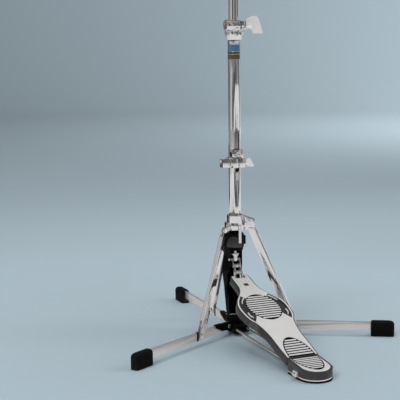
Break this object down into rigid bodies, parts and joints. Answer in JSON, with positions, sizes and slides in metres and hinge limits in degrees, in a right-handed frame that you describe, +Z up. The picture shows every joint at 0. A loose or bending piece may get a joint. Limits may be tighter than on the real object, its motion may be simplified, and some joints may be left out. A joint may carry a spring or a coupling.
{
  "type": "hi-hat stand",
  "caption": "Flat-base hi-hat stand with a cast footboard, a chain drive, flat folding legs with channel struts, a two-stage tube, a clutch and a pair of cymbals.",
  "frame": {"origin": "middle of the footprint on the floor: between the back of the heel and the end of the rear foot, and between the two front feet", "axes": "+Z up along the tube, -Y from the tube towards the pedal, +X to the right of someone behind the pedal looking at the tube, on the wing screws' side"},
  "size_m": [0.5106, 0.624, 1.01],
  "materials": {
    "chrome": "mirror bright plating",
    "satin_chrome": "satin plating",
    "bright_steel": "bright zinc plate",
    "polished_alloy": "plated flat bar, light grey",
    "cast_alloy": "sand-cast body in charcoal enamel, upper faces polished",
    "black_paint": "gloss black enamel",
    "black_plastic": "satin black moulding",
    "rubber": "matt black rubber",
    "nylon": "natural nylon",
    "wool_felt": "pressed wool felt",
    "bronze": "lathed cast bronze"
  },
  "bodies": {
    "stand": {"lower_tube": "chrome", "tube_socket": "chrome", "height_collar": "chrome", "tower": "black_paint", "rod_bush": "nylon", "tower_cover": "black_plastic", "base_casting": "black_paint", "radius_rod": "bright_steel", "heel_pad": "rubber", "heel_base_plate": "bright_steel", "heel_plate": "cast_alloy", "heel_pin": "bright_steel", "leg_bolt_a": "bright_steel", "leg_bolt_b": "bright_steel", "leg_bolt_c": "bright_steel"},
    "hub": {"tripod_hub": "chrome"},
    "hub_bolt": {"hub_bolt": "bright_steel"},
    "leg_a": {"leg_a": "polished_alloy", "leg_bracket_a": "black_paint", "foot_a": "rubber", "strut_pin_a": "bright_steel"},
    "strut_a": {"strut_a": "chrome"},
    "leg_b": {"leg_b": "polished_alloy", "leg_bracket_b": "black_paint", "foot_b": "rubber", "strut_pin_b": "bright_steel"},
    "strut_b": {"strut_b": "chrome"},
    "leg_c": {"leg_c": "polished_alloy", "leg_bracket_c": "black_paint", "foot_c": "rubber", "strut_pin_c": "bright_steel"},
    "strut_c": {"strut_c": "chrome"},
    "footboard": {"footboard": "cast_alloy"},
    "pull_rod": {"pull_rod": "bright_steel", "pull_fork": "bright_steel", "chain_top_pin": "bright_steel", "spring_collar": "bright_steel"},
    "chain": {"chain_link_1": "bright_steel", "chain_link_2": "bright_steel", "chain_link_3": "bright_steel"},
    "tension_adjuster": {"tension_block": "chrome", "tension_collar": "chrome", "spring_cup": "chrome", "return_spring": "bright_steel"},
    "tension_screw": {"tension_screw": "bright_steel"},
    "tension_wing": {"tension_wing": "satin_chrome"},
    "upper_tube": {"upper_tube": "chrome", "seat_base": "chrome"},
    "height_wing": {"height_wing": "satin_chrome"},
    "seat": {"seat_cup": "black_plastic", "bottom_felt": "wool_felt", "bottom_cymbal": "bronze"},
    "tilt_screw": {"tilt_screw": "bright_steel"},
    "clutch": {"clutch_body": "chrome", "upper_clutch_nut": "chrome", "lower_clutch_nut": "chrome", "upper_clutch_felt": "wool_felt", "lower_clutch_felt": "wool_felt", "top_cymbal": "bronze"},
    "clutch_wing": {"clutch_wing": "satin_chrome"}
  },
  "joints": [
    {"name": "hub_slide", "type": "slide", "parent": "stand", "child": "hub", "axis": [0, 0, 1], "range_m": [0, 0.0657]},
    {"name": "hub_bolt_turn", "type": "hinge", "parent": "hub", "child": "hub_bolt", "pos_m": [0.02382, 0.00825, 0.209], "axis": [0.5, 0.866, 0], "continuous": true},
    {"name": "leg_a_fold", "type": "hinge", "parent": "stand", "child": "leg_a", "pos_m": [-0.02338, 0.0085, 0.018], "axis": [-0.5, 0.866, 0], "range_deg": [0, 45]},
    {"name": "strut_a_swing", "type": "hinge", "parent": "leg_a", "child": "strut_a", "pos_m": [-0.09353, -0.032, 0.018], "axis": [-0.5, 0.866, 0], "range_deg": [-52.5, 0]},
    {"name": "leg_b_fold", "type": "hinge", "parent": "stand", "child": "leg_b", "pos_m": [0, 0.049, 0.018], "axis": [1, 0, 0], "range_deg": [0, 45]},
    {"name": "strut_b_swing", "type": "hinge", "parent": "leg_b", "child": "strut_b", "pos_m": [0, 0.13, 0.018], "axis": [1, 0, 0], "range_deg": [-52.5, 0]},
    {"name": "leg_c_fold", "type": "hinge", "parent": "stand", "child": "leg_c", "pos_m": [0.02338, 0.0085, 0.018], "axis": [-0.5, -0.866, 0], "range_deg": [0, 45]},
    {"name": "strut_c_swing", "type": "hinge", "parent": "leg_c", "child": "strut_c", "pos_m": [0.09353, -0.032, 0.018], "axis": [-0.5, -0.866, 0], "range_deg": [-52.5, 0]},
    {"name": "rod_pull", "type": "slide", "parent": "stand", "child": "pull_rod", "axis": [0, 0, -1], "range_m": [0, 0.03], "stiffness_N_per_m": 700, "springref_m": -0.045, "deforming": ["return_spring"]},
    {"name": "footboard_press", "type": "hinge", "parent": "stand", "child": "footboard", "pos_m": [0, -0.278, 0.0105], "axis": [-1, 0, 0], "range_deg": [0, 6.6]},
    {"name": "chain_swing", "type": "hinge", "parent": "pull_rod", "child": "chain", "pos_m": [0, 0.022, 0.1385], "axis": [1, 0, 0], "range_deg": [0, 14.42]},
    {"name": "tension_slide", "type": "slide", "parent": "stand", "child": "tension_adjuster", "axis": [0, 0, 1], "range_m": [0, 0.025]},
    {"name": "tension_screw_turn", "type": "hinge", "parent": "tension_adjuster", "child": "tension_screw", "pos_m": [0, 0.007, 0.33455], "axis": [0, -1, 0], "continuous": true},
    {"name": "tension_wing_turn", "type": "hinge", "parent": "tension_adjuster", "child": "tension_wing", "pos_m": [0.012, 0.0045, 0.318], "axis": [1, 0, 0], "continuous": true},
    {"name": "height_slide", "type": "slide", "parent": "stand", "child": "upper_tube", "axis": [0, 0, 1], "range_m": [-0.07, 0]},
    {"name": "height_wing_turn", "type": "hinge", "parent": "stand", "child": "height_wing", "pos_m": [0.015, 0.004, 0.5625], "axis": [1, 0, 0], "continuous": true},
    {"name": "seat_tilt", "type": "hinge", "parent": "upper_tube", "child": "seat", "pos_m": [0, 0.022, 0.7772], "axis": [1, 0, 0], "range_deg": [0, 1]},
    {"name": "tilt_screw_turn", "type": "hinge", "parent": "upper_tube", "child": "tilt_screw", "pos_m": [0, 0.002, 0.7618], "axis": [0, -1, 0], "continuous": true},
    {"name": "clutch_slide", "type": "slide", "parent": "pull_rod", "child": "clutch", "axis": [0, 0, 1], "range_m": [0, 0.06]},
    {"name": "clutch_wing_turn", "type": "hinge", "parent": "clutch", "child": "clutch_wing", "pos_m": [0.012, 0.022, 0.9236], "axis": [1, 0, 0], "continuous": true}
  ],
  "couplings": [
    {"joint": "leg_a_fold", "follows": "hub_slide", "rad_per_m": 11.943},
    {"joint": "strut_a_swing", "follows": "hub_slide", "rad_per_m": -13.92},
    {"joint": "leg_b_fold", "follows": "hub_slide", "rad_per_m": 11.943},
    {"joint": "strut_b_swing", "follows": "hub_slide", "rad_per_m": -13.92},
    {"joint": "leg_c_fold", "follows": "hub_slide", "rad_per_m": 11.943},
    {"joint": "strut_c_swing", "follows": "hub_slide", "rad_per_m": -13.92},
    {"joint": "footboard_press", "follows": "rod_pull", "rad_per_m": 3.8372},
    {"joint": "chain_swing", "follows": "rod_pull", "rad_per_m": 8.3825}
  ]
}
